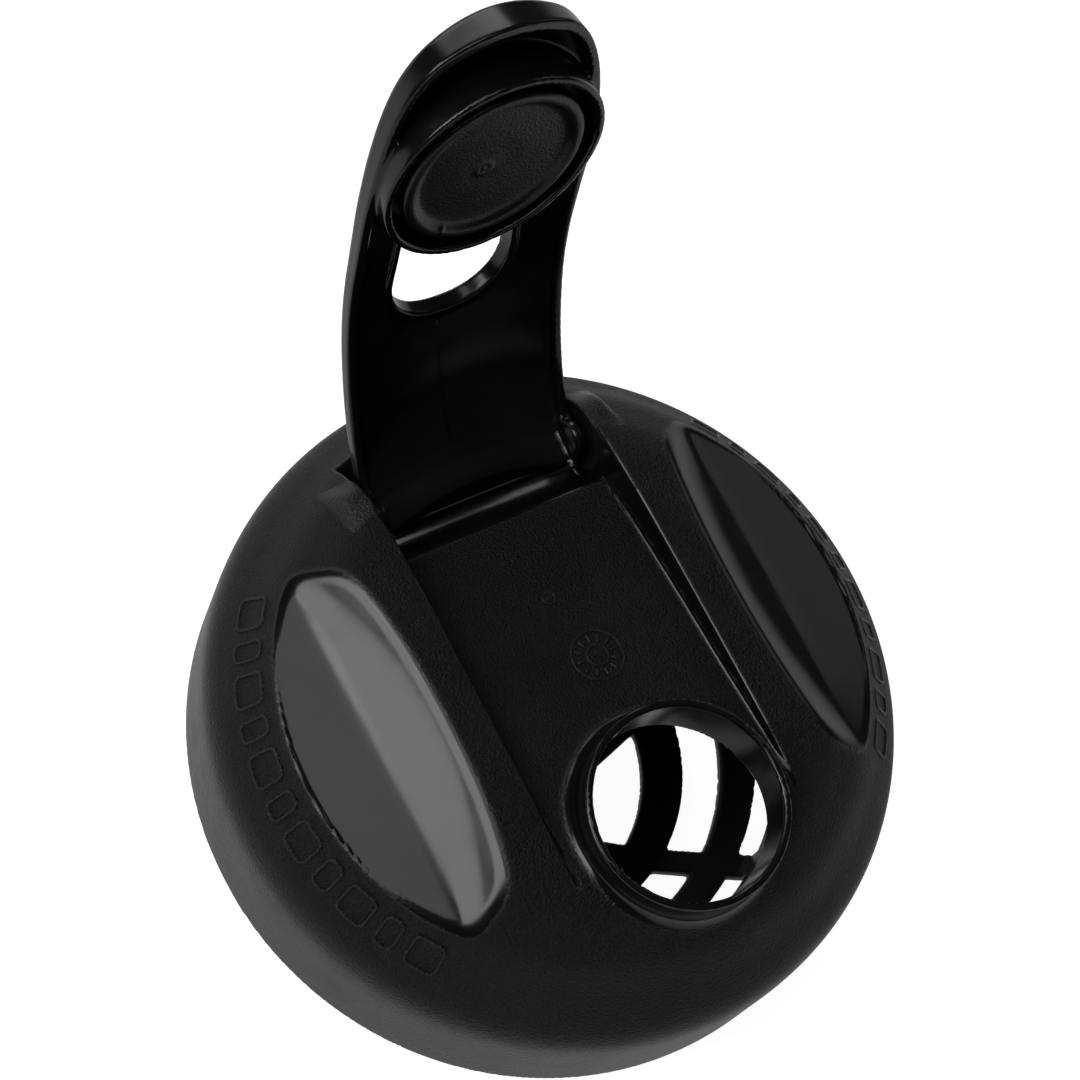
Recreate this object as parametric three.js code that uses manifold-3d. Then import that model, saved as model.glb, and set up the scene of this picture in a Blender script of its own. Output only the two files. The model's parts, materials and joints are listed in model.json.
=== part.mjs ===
// Screw lid of a protein shaker, with a flip cap standing open behind its drinking spout and a bowl
// shaped mixing grid clipped under it. Millimetres, +Z up. The spout is on the -Y side and the hinge
// on the +Y side. The lid's own drawing has its skirt rim at z = 0 and its axis at x = y = 0; the whole
// is then raised and moved so that the grid's flat bottom stands on the origin's plane.
import * as THREE from "three";
import { mergeVertices } from "three/addons/utils/BufferGeometryUtils.js";
import Module from "manifold-3d";

const wasm = await Module();
wasm.setup();

// ---- Driving dimensions ----
const LID_AXIS_Y = -5.87; // puts the middle of the open lid's box over the origin
const TURN_STEPS = 64; // facets round each turned surface
const DOME_STEPS = 16; // facets down the dome
const BAR_STEPS = 24; // facets round the hinge's bars and bosses
const CAP_STEPS_ACROSS = 12;
const CAP_STEPS_ALONG = 30;

const RIM_RADIUS = 49;
const SKIRT_TOP_RADIUS = 48.9;
const SKIRT_TOP_Z = 14.5;
const SKIRT_WALL = 2.2;
const TOP_WALL = 2.2;
const DOME_OUTLINE = [[0, 35.5], [18, 35.3], [27, 34.8], [33.5, 33.7], [38, 31.1], [41, 28.6], [44, 24.6],
  [46.2, 22], [47.6, 20], [48.57, 17.6], [SKIRT_TOP_RADIUS, SKIRT_TOP_Z]];

const NECK_SLOT_INNER = 40;
const NECK_SLOT_TOP_Z = 18;
const SEAL_RING_WALL = 1.5;
const SEAL_RING_BOTTOM_Z = 7;

const THREAD_PITCH = 5;
const THREAD_TURNS = 1.5;
const THREAD_START_Z = 4;
const THREAD_CREST_RADIUS = 45;
const THREAD_STEPS = 72;
const THREAD_CREST_DEPTH = 1; // inwards from the helix, which runs just inside the wall's face
// [outwards, up] from the helix. The root is buried in the wall.
const THREAD_SECTION = [[-THREAD_CREST_DEPTH, -0.5], [1.4, -1.3], [1.4, 1.3], [-THREAD_CREST_DEPTH, 0.5]];

const GASKET_THICKNESS = 1.6;

const CHANNEL_HALF_WIDTH = 16.8;
const CHANNEL_FLOOR = [[-36, 35.7], [-29, 34.9], [-17, 33.4], [-8, 32.3], [2.5, 31.3], [13, 30.1], [19, 29.2],
  [23.5, 28.2]];

const HINGE_Y = 30.3;
const HINGE_Z = 27.8;
const POCKET_RADIUS = 6.8;
const POCKET_BACK = [41.8, 28.4];
const TRUNNION_RADIUS = 2;
const TRUNNION_LENGTH = 3.6;
const TRUNNION_CLEARANCE = 0.08;
const HOLE_END_GAP = 0.4; // left beyond the end of each trunnion
const BOSS_RADIUS = 5.1;
const BOSS_OUTER_X = 20.9;
const BOSS_INSET = 0.5; // from the channel wall's face back to the boss's inner end

const SCOOP_OUTER_RADIUS = 40.8;
// [x, z] from the lid's side inwards: a floor, a ramp and a steeper ramp.
const SCOOP_FACETS = [[44, 27.5], [30.8, 30.2], [25.3, 33], [21.4, 36.16]];
const SCOOP_HALF_LENGTH = 34;
const SKY = 60; // above everything, where a cut from the top starts

const SPOUT_Y = -24;
const SPOUT_RIM_Z = 39.2;
const SPOUT_TILT = THREE.MathUtils.degToRad(3);
const SPOUT_OUTER_RADIUS = 13.9;
const SPOUT_BORE_RADIUS = 12.8;
const SPOUT_BASE_RADIUS = 14.4;
// [radius, height over the rim]
const SPOUT_TUBE = [[0, -12], [SPOUT_BASE_RADIUS, -12], [SPOUT_OUTER_RADIUS, -4.4],
  [SPOUT_OUTER_RADIUS, -0.4], [SPOUT_OUTER_RADIUS - 0.3, 0], [0, 0]];
const SPOUT_BORE_FROM = -20;
const SPOUT_BORE_TO = 5;

const CAP_OPEN_ANGLE = THREE.MathUtils.degToRad(102);
const CAP_HALF_WIDTH = 16.3;
const CAP_TIP_HALF_WIDTH = 11;
const CAP_TAPER_END = 0.32; // share of the cap's length from its tip over which it widens
const CAP_TIP_BOW = 4.4; // how far the tip's middle stands ahead of its corners
const CAP_WALL = 1.8;
const CAP_SIDE_WALL = 1.4;
const CAP_RIM_DEPTH = 2.5; // how far the side walls hang below the edge of the roof
const CAP_EDGE = [[-45.4, 40.9], [-42, 41.2], [-38, 41.4], [-31, 41.2], [-24, 41], [-16, 41.1], [-9, 41.3],
  [-4.8, 41.4], [-0.9, 41.3], [2.8, 41], [6.4, 40.5], [9.8, 39.8], [13.1, 39], [16.3, 38.1], [19.5, 37],
  [22.5, 35.8], [26, 34.1], [29, 32.3], [31.6, 30.3], [33.2, 27.9], [33.7, 25]];
const CAP_BACK_BOTTOM_Z = 25.7;
const CAP_BACK_ARCH = 1.8;
const CAP_BACK_ARCH_RADIUS = 48;
const CAP_LUG_RADIUS = 2.9;
const CAP_LUG_THICKNESS = 1.8;
const CAP_BACK_WALL = 2.5;

const RING_OUTER_RADIUS = 15.2;
const RING_INNER_RADIUS = 14.15;
const RING_DROP = 3.3;
const PLUG_RADIUS = 12.55;
const PLUG_DROP = 3.15;
const PLUG_WALL = 1.4;
const PLUG_TOP = 0.6;
const PLUG_POST_RADIUS = 10.7;

const HOLE_MIDDLE_Y = -0.3;
const HOLE_RADIUS = 8.8;
const HOLE_COLLAR = 0.8;
const HOLE_GAP_TO_RING = 1;
const HOLE_NARROWING = 0.6; // at each side, towards the ring
const HOLE_END_Y = -11;
const HOLE_FROM_Z = 36;
const HOLE_TO_Z = 50;
const COLLAR_SKIN = 0.4; // of the roof's surface left clear of the hole's collar, above and below

const GRID_BOWL = [[0, -18.5], [14, -18.5], [18, -17.2], [22, -14.6], [26.7, -11], [30.4, -7.4], [36.2, -1.8],
  [38.2, 0.4]];
const GRID_THICKNESS = 2;
const GRID_RIM_RADIUS = 38.2;
const GRID_RIM_WALL = 1.6;
const GRID_COLLAR_TOP_Z = 12;
const GRID_WINDOWS = [[7.6, 10.6], [14, 21.3], [26.5, 30.9], [35.1, 40]];
const GRID_WINDOW_TOP_Z = 1.2;
const GRID_RIB_WIDTH = 3.9;
const GRID_RIB_OFFSET = -6.7; // the ribs run past the axis at this distance, as in a pinwheel
const GRID_RIB_COUNT = 6;
const GRID_FIRST_RIB_ANGLE = -45;
const LID_RIM_Z = GRID_THICKNESS - GRID_BOWL[0][1]; // the skirt rim's height over the surface stood on

// ---- Solids: closed three.js meshes joined and cut by manifold ----
function solid(geometry, matrix = new THREE.Matrix4()) {
  const bare = geometry.clone().applyMatrix4(matrix);
  bare.deleteAttribute("normal");
  bare.deleteAttribute("uv");
  const merged = mergeVertices(bare, 1e-4);
  return new wasm.Manifold(new wasm.Mesh({
    numProp: 3,
    vertProperties: Float32Array.from(merged.attributes.position.array),
    triVerts: Uint32Array.from(merged.index.array),
  }));
}

function geometryOf(manifold) {
  const mesh = manifold.getMesh();
  const geometry = new THREE.BufferGeometry();
  geometry.setAttribute("position", new THREE.BufferAttribute(mesh.vertProperties, 3));
  geometry.setIndex(new THREE.BufferAttribute(mesh.triVerts, 1));
  geometry.computeVertexNormals();
  return geometry;
}

function union(pieces) {
  return pieces.reduce((whole, piece) => whole.add(piece));
}

// A body of revolution about Z from [radius, z] points. An outline that leaves the axis closes on itself.
function turned(outline, steps = TURN_STEPS) {
  const points = outline.map(([radius, z]) => new THREE.Vector2(radius, z));
  if (outline[0][0] > 0) points.push(points[0].clone());
  return solid(new THREE.LatheGeometry(points, steps), new THREE.Matrix4().makeRotationX(Math.PI / 2));
}

function ring(inner, outer, bottom, top) {
  return turned([[inner, bottom], [outer, bottom], [outer, top], [inner, top]]);
}

function rod(radius, bottom, top) {
  return turned([[0, bottom], [radius, bottom], [radius, top], [0, top]]);
}

// An outline in X and Y, extruded up from one height to another.
function slab(shape, bottom, top) {
  const options = { depth: top - bottom, bevelEnabled: false, curveSegments: 36 };
  return solid(new THREE.ExtrudeGeometry(shape, options), new THREE.Matrix4().makeTranslation(0, 0, bottom));
}

// An outline in Y and Z, extruded along X to both sides of the middle plane.
function sideProfile(outline, halfWidth) {
  const shape = new THREE.Shape(outline.map(([y, z]) => new THREE.Vector2(y, z)));
  const axes = new THREE.Matrix4().makeBasis(
    new THREE.Vector3(0, 1, 0), new THREE.Vector3(0, 0, 1), new THREE.Vector3(1, 0, 0));
  const options = { depth: 2 * halfWidth, bevelEnabled: false };
  return solid(new THREE.ExtrudeGeometry(shape, options), axes.setPosition(-halfWidth, 0, 0));
}

// An outline in X and Z on one side (1 or -1) of the lid, extruded along Y.
function frontProfile(outline, side, halfLength) {
  const shape = new THREE.Shape(outline.map(([x, z]) => new THREE.Vector2(side * x, z)));
  const axes = new THREE.Matrix4().makeBasis(
    new THREE.Vector3(1, 0, 0), new THREE.Vector3(0, 0, 1), new THREE.Vector3(0, -1, 0));
  const options = { depth: 2 * halfLength, bevelEnabled: false };
  return solid(new THREE.ExtrudeGeometry(shape, options), axes.setPosition(0, halfLength, 0));
}

// A round bar along X between two places.
function crossBar(radius, fromX, toX, y, z) {
  const matrix = new THREE.Matrix4().makeRotationZ(Math.PI / 2);
  matrix.setPosition((fromX + toX) / 2, y, z);
  return solid(new THREE.CylinderGeometry(radius, radius, Math.abs(toX - fromX), BAR_STEPS), matrix);
}

function smoothPoints(points, count) {
  return new THREE.SplineCurve(points.map(([a, b]) => new THREE.Vector2(a, b))).getPoints(count);
}

// Places a turned piece on the spout's axis, with its own z = 0 at the spout's rim.
const spoutPlace = new THREE.Matrix4().makeRotationX(SPOUT_TILT).setPosition(0, SPOUT_Y, SPOUT_RIM_Z);

function onSpout(manifold) {
  return solid(geometryOf(manifold), spoutPlace);
}

// ---- Lid shell ----
function domePoints(count) {
  return smoothPoints(DOME_OUTLINE, count).map((point) => [point.x, point.y]);
}

function lidOutside() {
  return turned([[0, 0], [RIM_RADIUS, 0], ...domePoints(DOME_STEPS).reverse()]);
}

// The hollow under the dome, one wall thickness inside it, with the neck slot round the sealing ring.
function lidInside() {
  const dome = domePoints(DOME_STEPS).filter(([radius]) => radius < NECK_SLOT_INNER - SEAL_RING_WALL - 1);
  const ceiling = dome.map(([radius, z]) => [radius, z - TOP_WALL]);
  const edge = NECK_SLOT_INNER - SEAL_RING_WALL;
  const middle = turned([...ceiling, [edge, 26], [edge, -1], [0, -1]].reverse());
  const slotOuter = RIM_RADIUS - SKIRT_WALL;
  const slot = ring(NECK_SLOT_INNER, slotOuter, -1, NECK_SLOT_TOP_Z);
  const underRing = ring(edge - 0.5, NECK_SLOT_INNER + 0.5, -1, SEAL_RING_BOTTOM_Z);
  return union([middle, slot, underRing]);
}

// The channel that the closed cap lies in, and the pocket its hinge end swings in. A margin grows it.
function channel(margin) {
  const halfWidth = CHANNEL_HALF_WIDTH + margin;
  const floor = smoothPoints(CHANNEL_FLOOR, 12).map((point) => [point.x, point.y - margin]);
  const floorEndZ = floor[floor.length - 1][1];
  const frontY = floor[0][0];
  const trough = sideProfile([[frontY, SKY], ...floor, [HINGE_Y, floorEndZ], [HINGE_Y, SKY]], halfWidth);

  const bottom = [];
  for (let degrees = 180; degrees <= 300; degrees += 15) {
    const turn = THREE.MathUtils.degToRad(degrees);
    const radius = POCKET_RADIUS + margin;
    bottom.push([HINGE_Y + radius * Math.cos(turn), HINGE_Z + radius * Math.sin(turn)]);
  }
  const backZ = POCKET_BACK[1] - margin;
  const behind = [[POCKET_BACK[0], backZ], [SKY, backZ], [SKY, SKY], [HINGE_Y - POCKET_RADIUS - margin, SKY]];
  return trough.add(sideProfile([...bottom, ...behind], halfWidth));
}

// A finger scoop on each side: a floor that falls outwards and two facets that rise inwards, inside an
// arc round the lid. A margin grows it outwards and down.
function scoops(margin) {
  const bottom = SCOOP_FACETS[0][1] - 3 * TOP_WALL;
  const around = rod(SCOOP_OUTER_RADIUS + margin, bottom, SKY);
  const facets = SCOOP_FACETS.map(([x, z]) => [x - margin / 2, z - margin]);
  const outline = [...facets, [facets[facets.length - 1][0], SKY], [facets[0][0], SKY]];
  return union([-1, 1].map((side) => around.intersect(frontProfile(outline, side, SCOOP_HALF_LENGTH))));
}

class Helix extends THREE.Curve {
  getPoint(t) {
    const turn = 2 * Math.PI * THREAD_TURNS * t;
    const radius = THREAD_CREST_RADIUS + THREAD_CREST_DEPTH;
    return new THREE.Vector3(radius * Math.cos(turn), radius * Math.sin(turn),
      THREAD_START_Z + THREAD_PITCH * THREAD_TURNS * t);
  }
}

// The screw thread inside the skirt. Its root is buried in the wall.
function thread() {
  const curve = new Helix();
  const outwards = curve.computeFrenetFrames(1, false).normals[0].x > 0;
  const section = THREAD_SECTION.map(([out, up]) => new THREE.Vector2(outwards ? out : -out, up));
  const shape = new THREE.Shape(outwards ? section : section.reverse());
  const options = { steps: THREAD_STEPS, bevelEnabled: false, extrudePath: curve };
  return solid(new THREE.ExtrudeGeometry(shape, options));
}

function lidShell() {
  const hollow = lidInside().subtract(channel(TOP_WALL)).subtract(scoops(TOP_WALL));
  const bore = onSpout(rod(SPOUT_BORE_RADIUS, SPOUT_BORE_FROM, SPOUT_BORE_TO));
  let shell = lidOutside().subtract(channel(0)).subtract(scoops(0));
  shell = shell.add(onSpout(turned(SPOUT_TUBE))).subtract(hollow).subtract(bore);

  for (const side of [-1, 1]) {
    const wallX = side * CHANNEL_HALF_WIDTH;
    const boss = crossBar(BOSS_RADIUS, wallX + side * BOSS_INSET, side * BOSS_OUTER_X, HINGE_Y, HINGE_Z);
    const holeEnd = side * (CAP_HALF_WIDTH + TRUNNION_LENGTH + HOLE_END_GAP);
    const hole = crossBar(TRUNNION_RADIUS + TRUNNION_CLEARANCE, wallX - side, holeEnd, HINGE_Y, HINGE_Z);
    shell = shell.add(boss).subtract(hole);
  }
  return shell.add(thread());
}

// ---- Flip cap, made closed over the spout ----
const capEdge = new THREE.SplineCurve(CAP_EDGE.map(([y, z]) => new THREE.Vector2(y, z)));

// How far the cap's roof stands above its edge along the middle, from the front (0) to the hinge (1).
function capCrown(along) {
  const front = 1.8;
  const middle = 3.2;
  const hinge = 1;
  const peak = 0.5;
  if (along < peak) return front + (middle - front) * Math.sin((along / peak) * Math.PI / 2);
  return hinge + (middle - hinge) * Math.cos(((along - peak) / (1 - peak)) * Math.PI / 2);
}

function capHalfWidth(along) {
  const remaining = Math.max(1 - along / CAP_TAPER_END, 0);
  return CAP_HALF_WIDTH - (CAP_HALF_WIDTH - CAP_TIP_HALF_WIDTH) * remaining ** 2;
}

// A block bent to the cap's outline: across runs -1 to 1, along runs from the front to the hinge, and
// depth is measured down from the roof, from one value to another.
function capBlock(inset, alongFrom, alongTo, topDepth, bottomDepth) {
  const box = new THREE.BoxGeometry(2, 1, 1, CAP_STEPS_ACROSS, CAP_STEPS_ALONG, 1);
  const position = box.attributes.position;
  for (let index = 0; index < position.count; index += 1) {
    const across = position.getX(index);
    const isTop = position.getZ(index) > 0;
    const bow = (CAP_TIP_BOW / capEdge.getLength()) * across ** 2 * (0.5 - position.getY(index)) ** 4;
    const along = alongFrom + (alongTo - alongFrom) * (position.getY(index) + 0.5) + bow;
    const edge = capEdge.getPointAt(Math.min(along, 1));
    const tangent = capEdge.getTangentAt(Math.min(along, 1));
    const halfWidth = capHalfWidth(along) - inset;
    const share = (across * halfWidth) / capHalfWidth(along);
    const rise = capCrown(along) * (1 - share ** 2);
    const lift = isTop ? rise - topDepth : Math.min(rise - topDepth, 0) - bottomDepth;
    position.setXYZ(index, across * halfWidth, edge.x - tangent.y * lift, edge.y + tangent.x * lift);
  }
  return solid(box);
}

function capArm() {
  const frontWall = CAP_WALL / capEdge.getLength();
  const backWall = CAP_BACK_WALL / capEdge.getLength();
  const outside = capBlock(0, 0, 1, 0, CAP_RIM_DEPTH);
  const inside = capBlock(CAP_SIDE_WALL, frontWall, 1 - backWall, CAP_WALL, CAP_RIM_DEPTH + 3);
  let arm = outside.subtract(inside);

  const underBack = sideProfile([[20, 10], [45, 10], [45, CAP_BACK_BOTTOM_Z], [20, CAP_BACK_BOTTOM_Z]], 30);
  const arch = new THREE.CylinderGeometry(CAP_BACK_ARCH_RADIUS, CAP_BACK_ARCH_RADIUS, 25, 96);
  arch.translate(0, HINGE_Y, CAP_BACK_BOTTOM_Z + CAP_BACK_ARCH - CAP_BACK_ARCH_RADIUS);
  arm = arm.subtract(underBack).subtract(solid(arch));

  const roof = capBlock(0.3, 0.01, 0.99, 0.3, 40);
  const ringTube = onSpout(ring(RING_INNER_RADIUS, RING_OUTER_RADIUS, -RING_DROP, 8));
  const post = onSpout(rod(PLUG_POST_RADIUS, -0.6, 8));
  arm = arm.add(ringTube.intersect(roof)).add(post.intersect(roof));

  const ringZone = (radius) => onSpout(rod(radius, -10, 12));
  const holePlan = (grow) => {
    const shape = new THREE.Shape();
    const radius = HOLE_RADIUS + grow;
    shape.absarc(0, HOLE_MIDDLE_Y, radius, 0, Math.PI, false);
    shape.lineTo(-radius + HOLE_NARROWING, HOLE_END_Y);
    shape.lineTo(radius - HOLE_NARROWING, HOLE_END_Y);
    return slab(shape, HOLE_FROM_Z, HOLE_TO_Z);
  };
  const collarDepths = capBlock(1, 0.05, 0.95, COLLAR_SKIN, CAP_WALL - COLLAR_SKIN);
  const collar = holePlan(HOLE_COLLAR).intersect(collarDepths).subtract(ringZone(RING_OUTER_RADIUS - 0.2));
  const hole = holePlan(0).subtract(ringZone(RING_OUTER_RADIUS + HOLE_GAP_TO_RING));
  arm = arm.add(collar).subtract(hole);

  for (const side of [-1, 1]) {
    const outerX = side * CAP_HALF_WIDTH;
    const lug = crossBar(CAP_LUG_RADIUS, outerX - side * CAP_LUG_THICKNESS, outerX, HINGE_Y, HINGE_Z);
    const tipX = outerX + side * TRUNNION_LENGTH;
    const trunnion = crossBar(TRUNNION_RADIUS, outerX - side, tipX, HINGE_Y, HINGE_Z);
    arm = arm.add(lug).add(trunnion);
  }
  return arm;
}

// The dished stopper, a cup pressed over the post inside the cap.
function sealPlug() {
  const face = -PLUG_DROP;
  const dish = 0.9;
  return onSpout(turned([[0, face + dish], [PLUG_RADIUS - 2.6, face + dish], [PLUG_RADIUS - 1.8, face + 0.2],
    [PLUG_RADIUS - 1.2, face], [PLUG_RADIUS - 0.5, face], [PLUG_RADIUS, face + 0.5], [PLUG_RADIUS, PLUG_TOP],
    [PLUG_RADIUS - PLUG_WALL, PLUG_TOP], [PLUG_RADIUS - PLUG_WALL, -0.9], [0, -0.9]]));
}

// ---- Pieces under the lid ----
function neckGasket() {
  const clearance = 0.3;
  const top = NECK_SLOT_TOP_Z - clearance;
  return ring(NECK_SLOT_INNER + clearance, RIM_RADIUS - SKIRT_WALL - clearance, top - GASKET_THICKNESS, top);
}

// A bowl of rings and ribs under the lid, with a collar that clips inside the sealing ring.
function mixingGrid() {
  const rimInside = GRID_RIM_RADIUS - GRID_RIM_WALL;
  const bowlTop = GRID_BOWL[GRID_BOWL.length - 1][1];
  const under = GRID_BOWL.slice(0, -1).map(([radius, z]) => [radius, z - GRID_THICKNESS]);
  const collar = [[GRID_RIM_RADIUS, bowlTop - GRID_THICKNESS], [GRID_RIM_RADIUS, GRID_COLLAR_TOP_Z],
    [rimInside, GRID_COLLAR_TOP_Z], [rimInside, bowlTop - GRID_RIM_WALL]];
  const inside = GRID_BOWL.slice(0, -1).reverse();
  let grid = turned([...under, ...collar, ...inside]);

  const ribs = [];
  for (let index = 0; index < GRID_RIB_COUNT; index += 1) {
    const turn = THREE.MathUtils.degToRad(GRID_FIRST_RIB_ANGLE + (index * 360) / GRID_RIB_COUNT);
    const rib = new THREE.BoxGeometry(GRID_RIM_RADIUS, GRID_RIB_WIDTH, SKY);
    rib.translate(GRID_RIM_RADIUS / 2, GRID_RIB_OFFSET, 0);
    ribs.push(solid(rib, new THREE.Matrix4().makeRotationZ(turn)));
  }
  const allRibs = union(ribs);
  for (const [inner, outer] of GRID_WINDOWS) {
    grid = grid.subtract(ring(inner, outer, -SKY / 2, GRID_WINDOW_TOP_Z).subtract(allRibs));
  }
  return grid;
}

// ---- Materials and assembly ----
const blackPlastic = new THREE.MeshStandardMaterial({ color: 0x0c0c0d, roughness: 0.55, metalness: 0 });
const glossPlastic = new THREE.MeshStandardMaterial({ color: 0x09090a, roughness: 0.25, metalness: 0 });
const plugPlastic = new THREE.MeshStandardMaterial({ color: 0x101012, roughness: 0.22, metalness: 0 });
const gridPlastic = new THREE.MeshStandardMaterial({ color: 0x0b0b0c, roughness: 0.35, metalness: 0 });
const siliconeRubber = new THREE.MeshStandardMaterial({ color: 0x2a2a2c, roughness: 0.7, metalness: 0 });

function piece(name, manifold, material) {
  const mesh = new THREE.Mesh(geometryOf(manifold), material);
  mesh.name = name;
  return mesh;
}

const lid = new THREE.Group();
lid.position.set(0, LID_AXIS_Y, LID_RIM_Z);
lid.add(
  piece("lid_shell", lidShell(), blackPlastic),
  piece("neck_gasket", neckGasket(), siliconeRubber),
  piece("mixing_grid", mixingGrid(), gridPlastic),
);

// The cap turns back about the hinge axis, so it hangs from a group placed there.
const hinge = new THREE.Group();
hinge.position.set(0, HINGE_Y, HINGE_Z);
hinge.rotation.x = -CAP_OPEN_ANGLE;
const closedCap = new THREE.Group();
closedCap.position.set(0, -HINGE_Y, -HINGE_Z);
closedCap.add(piece("cap_arm", capArm(), glossPlastic), piece("seal_plug", sealPlug(), plugPlastic));
hinge.add(closedCap);
lid.add(hinge);

const shakerLid = new THREE.Group();
shakerLid.add(lid);

export default shakerLid;
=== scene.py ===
# Screw lid of a shaker bottle, with its flip cap open: the looks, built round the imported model.
# Shapes are worked out in the lid's own drawing, in millimetres: the skirt's rim is at z = 0, the screw
# axis is at x = y = 0, the spout is on the -Y side and the hinge on the +Y side. Each moulded piece is
# a signed distance field whose edges are rounded as a moulding's are, turned into a mesh.
import json
import math

import bpy
import numpy as np
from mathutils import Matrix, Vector


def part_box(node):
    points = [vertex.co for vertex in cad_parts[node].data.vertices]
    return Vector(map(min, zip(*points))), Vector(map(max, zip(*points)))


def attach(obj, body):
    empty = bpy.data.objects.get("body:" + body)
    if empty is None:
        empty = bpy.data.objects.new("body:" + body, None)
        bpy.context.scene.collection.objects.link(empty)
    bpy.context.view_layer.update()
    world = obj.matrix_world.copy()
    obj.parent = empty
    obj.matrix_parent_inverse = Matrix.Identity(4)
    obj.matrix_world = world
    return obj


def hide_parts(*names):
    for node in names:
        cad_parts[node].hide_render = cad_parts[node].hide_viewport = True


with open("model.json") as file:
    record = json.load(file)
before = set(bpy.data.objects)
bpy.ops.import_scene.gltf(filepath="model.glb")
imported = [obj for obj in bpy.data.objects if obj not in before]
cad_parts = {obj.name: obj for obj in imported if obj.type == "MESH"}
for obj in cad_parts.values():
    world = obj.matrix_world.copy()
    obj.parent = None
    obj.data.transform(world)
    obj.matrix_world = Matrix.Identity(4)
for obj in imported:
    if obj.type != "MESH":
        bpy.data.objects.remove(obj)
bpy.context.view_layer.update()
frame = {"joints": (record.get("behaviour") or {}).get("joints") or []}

# ---- The frame's places ----
MM = 0.001
shell_low, shell_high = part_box("lid_shell")
LID_AXIS_Y = (shell_low.y + shell_high.y) / 2
LID_RIM_Z = shell_low.z
cap_joint = frame["joints"][0]
HINGE_Y = (cap_joint["pos_m"][1] - LID_AXIS_Y) / MM
HINGE_Z = (cap_joint["pos_m"][2] - LID_RIM_Z) / MM
CAP_OPEN_ANGLE = math.radians(-cap_joint["range_deg"][0])


# ---- Distance field tools: arrays of points in, arrays of distances out, negative inside ----
def smooth_max(a, b, radius):
    """The larger of two distances, with the crease between them rounded."""
    h = np.clip(0.5 + 0.5 * (a - b) / radius, 0, 1)
    return b + (a - b) * h + radius * h * (1 - h)


def smooth_min(a, b, radius):
    return -smooth_max(-a, -b, radius)


def cut(solid, hole, radius):
    return smooth_max(solid, -hole, radius)


def round_max(a, b, radius):
    """Two faces meeting in a true quarter-round edge."""
    u = np.maximum(a + radius, 0)
    v = np.maximum(b + radius, 0)
    return np.minimum(np.maximum(a, b), -radius) + np.sqrt(u * u + v * v)


def smooth_curve(points, samples=800, window=0.03):
    """A smoothed curve through [x, y] points, as two arrays, x rising."""
    points = np.array(points, float)
    step = np.concatenate([[0], np.cumsum(np.hypot(*np.diff(points, axis=0).T))])
    t = np.linspace(0, step[-1], samples)
    padded = np.concatenate([[2 * points[0] - points[1]], points, [2 * points[-1] - points[-2]]])
    index = np.clip(np.searchsorted(step, t, "right") - 1, 0, len(points) - 2)
    local = ((t - step[index]) / (step[index + 1] - step[index]))[:, None]
    p0, p1, p2, p3 = (padded[index + k] for k in range(4))
    curve = 0.5 * (2 * p1 + (p2 - p0) * local + (2 * p0 - 5 * p1 + 4 * p2 - p3) * local**2
                   + (3 * p1 - p0 - 3 * p2 + p3) * local**3)
    half = max(int(samples * window / 2), 1)
    kernel = np.hanning(2 * half + 3)[1:-1]
    kernel /= kernel.sum()
    for axis in range(2):
        ends = curve[:, axis]
        before = 2 * ends[0] - ends[half:0:-1]
        after = 2 * ends[-1] - ends[-2:-half - 2:-1]
        curve[:, axis] = np.convolve(np.concatenate([before, ends, after]), kernel, "valid")
    return curve[:, 0], curve[:, 1]


def height_field(curve):
    """Distance above a curve z(x), scaled by its slope."""
    xs, zs = curve
    slope = np.gradient(zs, xs)
    scale = 1 / np.sqrt(1 + slope**2)

    def field(x, z):
        return (z - np.interp(x, xs, zs)) * np.interp(x, xs, scale)
    return field


FAR = 99.0  # millimetres, a distance to nothing yet

# ---- Mesher: surface nets in a thin band round the surface, then pulled onto it ----
CHUNK = 400000  # points worked out at a time
BLOCK = 4  # grid cells along a block's side
BAND_MARGIN = 1.35  # how much steeper than 1 a field may be
OFF_GRID = 1.37  # steps, so that flat faces don't lie on the grid's planes
PULLS = 3  # times that each point is pulled onto the surface
PULL_PROBE = 0.2  # these three are in steps
PULL_LIMIT = 0.45
NORMAL_PROBE = 0.45
FLATTEST = 0.2  # the least squared slope that a pull trusts


def evaluate(field, points):
    parts = [field(points[i:i + CHUNK]) for i in range(0, len(points), CHUNK)]
    return np.concatenate(parts)


def gradient(field, points, step):
    result = np.empty_like(points)
    for axis in range(3):
        shift = np.zeros(3)
        shift[axis] = step
        result[:, axis] = evaluate(field, points + shift) - evaluate(field, points - shift)
    return result / (2 * step)


def band_values(field, low, counts, step):
    """Field values on the grid, worked out only near the surface."""
    blocks = [(n + BLOCK - 1) // BLOCK for n in counts]
    full = [b * BLOCK + 1 for b in blocks]
    centre = np.stack(np.meshgrid(*[np.arange(b) for b in blocks], indexing="ij"), -1).reshape(-1, 3)
    middle = evaluate(field, low + (centre * BLOCK + BLOCK / 2) * step)
    reach = BLOCK * step * math.sqrt(3) / 2 * BAND_MARGIN + step
    values = np.repeat(np.repeat(np.repeat(
        middle.reshape(blocks), BLOCK, 0), BLOCK, 1), BLOCK, 2).astype(np.float32)
    values = np.pad(values, ((0, 1),) * 3, mode="edge")
    near = centre[np.abs(middle) < reach]
    offsets = np.stack(np.meshgrid(*[np.arange(BLOCK + 1)] * 3, indexing="ij"), -1).reshape(-1, 3)
    keys = (near[:, None, :] * BLOCK + offsets[None]).reshape(-1, 3)
    flat = np.unique(np.ravel_multi_index(keys.T, full))
    nodes = np.stack(np.unravel_index(flat, full), -1)
    values.reshape(-1)[flat] = evaluate(field, low + nodes * step)
    return values


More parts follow.
